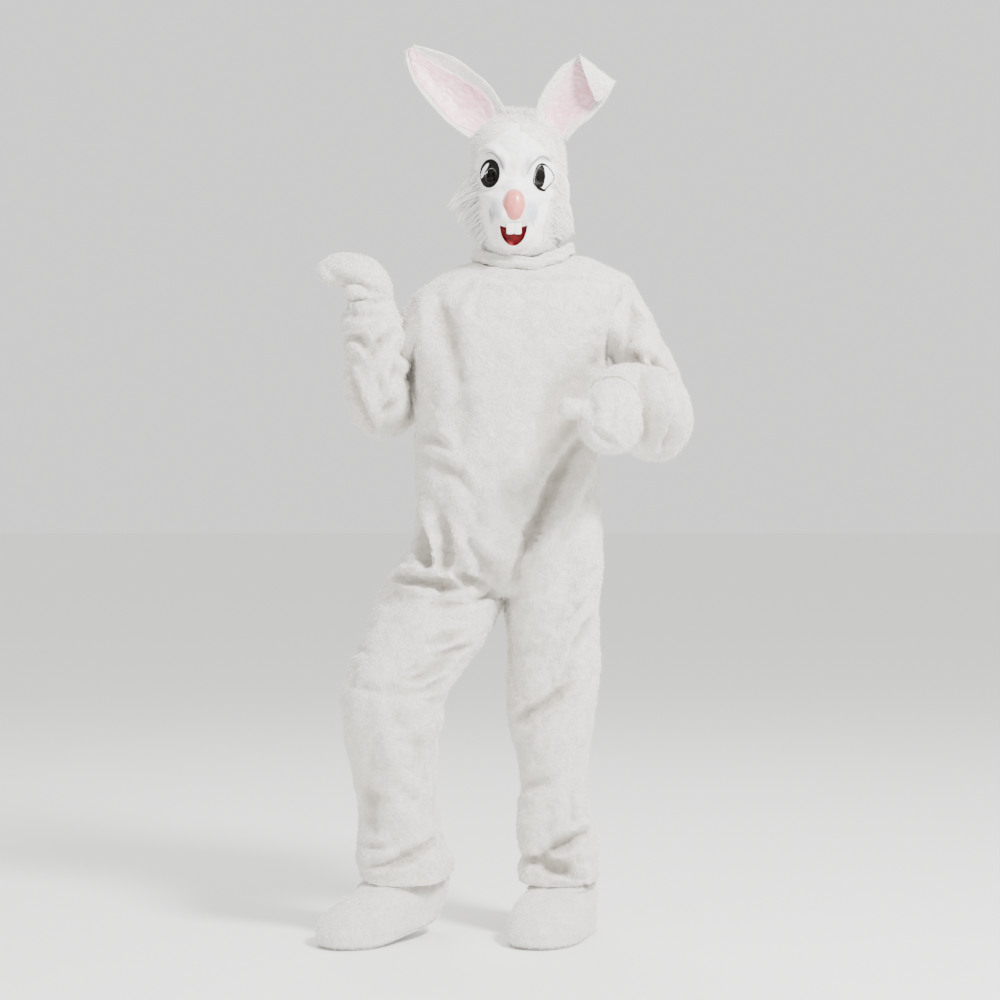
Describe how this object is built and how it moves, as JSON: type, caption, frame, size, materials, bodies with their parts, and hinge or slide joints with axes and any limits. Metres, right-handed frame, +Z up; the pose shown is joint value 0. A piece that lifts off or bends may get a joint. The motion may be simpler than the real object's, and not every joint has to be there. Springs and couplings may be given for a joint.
{
  "type": "bunny costume",
  "caption": "White plush rabbit jumpsuit with a moulded rabbit mask, mitts and shoe covers, hollow and posed as worn, a paw raised and a knee bent.",
  "frame": {"origin": "base of the neck, midway between the shoulders, where the jumpsuit hangs on its wearer", "axes": "+Z up, -Y the way the chest faces, +X towards the wearer's left"},
  "size_m": [0.7816, 0.4929, 1.8652],
  "materials": {
    "plush": "white short-pile plush",
    "hood_fur": "white long-pile fur cloth",
    "satin": "pink satin",
    "sole_fabric": "white felted sole cloth",
    "face_latex": "painted white moulded latex",
    "nose_latex": "pink gloss latex",
    "mouth_latex": "dark red latex",
    "tooth_plastic": "white gloss"
  },
  "bodies": {
    "root": {"front": "plush", "back_left": "plush", "back_right": "plush", "back_placket": "plush", "collar": "plush", "sleeve_left": "plush", "sleeve_right": "plush", "mask_face": "face_latex", "mask_hood": "hood_fur", "nose": "nose_latex", "teeth": "tooth_plastic", "mouth_lining": "mouth_latex", "ear_left": "hood_fur", "ear_right": "hood_fur", "ear_lining_left": "satin", "ear_lining_right": "satin", "cheek_fur_left": "hood_fur", "cheek_fur_right": "hood_fur", "mitt_left": "plush", "mitt_right": "plush", "shoe_cover_left": "plush", "shoe_cover_right": "plush", "sole_left": "sole_fabric", "sole_right": "sole_fabric"}
  },
  "joints": []
}
